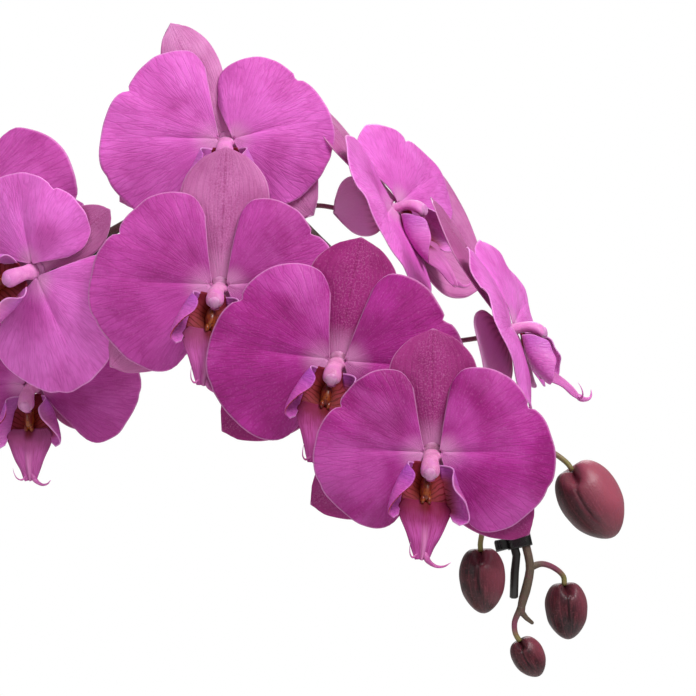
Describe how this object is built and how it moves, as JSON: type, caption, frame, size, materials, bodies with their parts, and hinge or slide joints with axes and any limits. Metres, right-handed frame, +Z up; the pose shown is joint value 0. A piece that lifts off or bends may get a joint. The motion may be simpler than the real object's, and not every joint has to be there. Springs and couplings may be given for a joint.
{
  "type": "potted moth orchid",
  "caption": "Potted moth orchid: one arching spike of open magenta blooms and closed buds on a rod, above strap leaves, in a plain round pot of bark.",
  "frame": {"origin": "centre of the pot's flat foot", "axes": "+Z up through the pot, blooms facing -Y, the spike arching towards +X"},
  "size_m": [0.5731, 0.2258, 0.692],
  "materials": {
    "tepal": "satin petal tissue with fine veins",
    "lip": "satin petal tissue",
    "column": "waxy",
    "bud": "waxy",
    "stem": "waxy",
    "rod": "satin black",
    "clip": "satin black",
    "leaf": "waxy",
    "root": "matt",
    "pot": "plain glaze",
    "bark": "rough"
  },
  "bodies": {
    "root": {"bloom_1_tepals": "tepal", "bloom_1_lip": "lip", "bloom_1_column": "column", "bloom_2_tepals": "tepal", "bloom_2_lip": "lip", "bloom_2_column": "column", "bloom_3_tepals": "tepal", "bloom_3_lip": "lip", "bloom_3_column": "column", "bloom_4_tepals": "tepal", "bloom_4_lip": "lip", "bloom_4_column": "column", "bloom_5_tepals": "tepal", "bloom_5_lip": "lip", "bloom_5_column": "column", "bloom_6_tepals": "tepal", "bloom_6_lip": "lip", "bloom_6_column": "column", "bloom_7_tepals": "tepal", "bloom_7_lip": "lip", "bloom_7_column": "column", "bloom_8_tepals": "tepal", "bloom_8_lip": "lip", "bloom_8_column": "column", "bloom_9_tepals": "tepal", "bloom_9_lip": "lip", "bloom_9_column": "column", "bud_1": "bud", "bud_2": "bud", "bud_3": "bud", "bud_4": "bud", "flower_stem": "stem", "stake": "rod", "clip_1": "clip", "clip_2": "clip", "clip_3": "clip", "leaves": "leaf", "root_1": "root", "root_2": "root", "root_3": "root", "root_4": "root", "root_5": "root", "pot": "pot", "bark": "bark"}
  },
  "joints": []
}
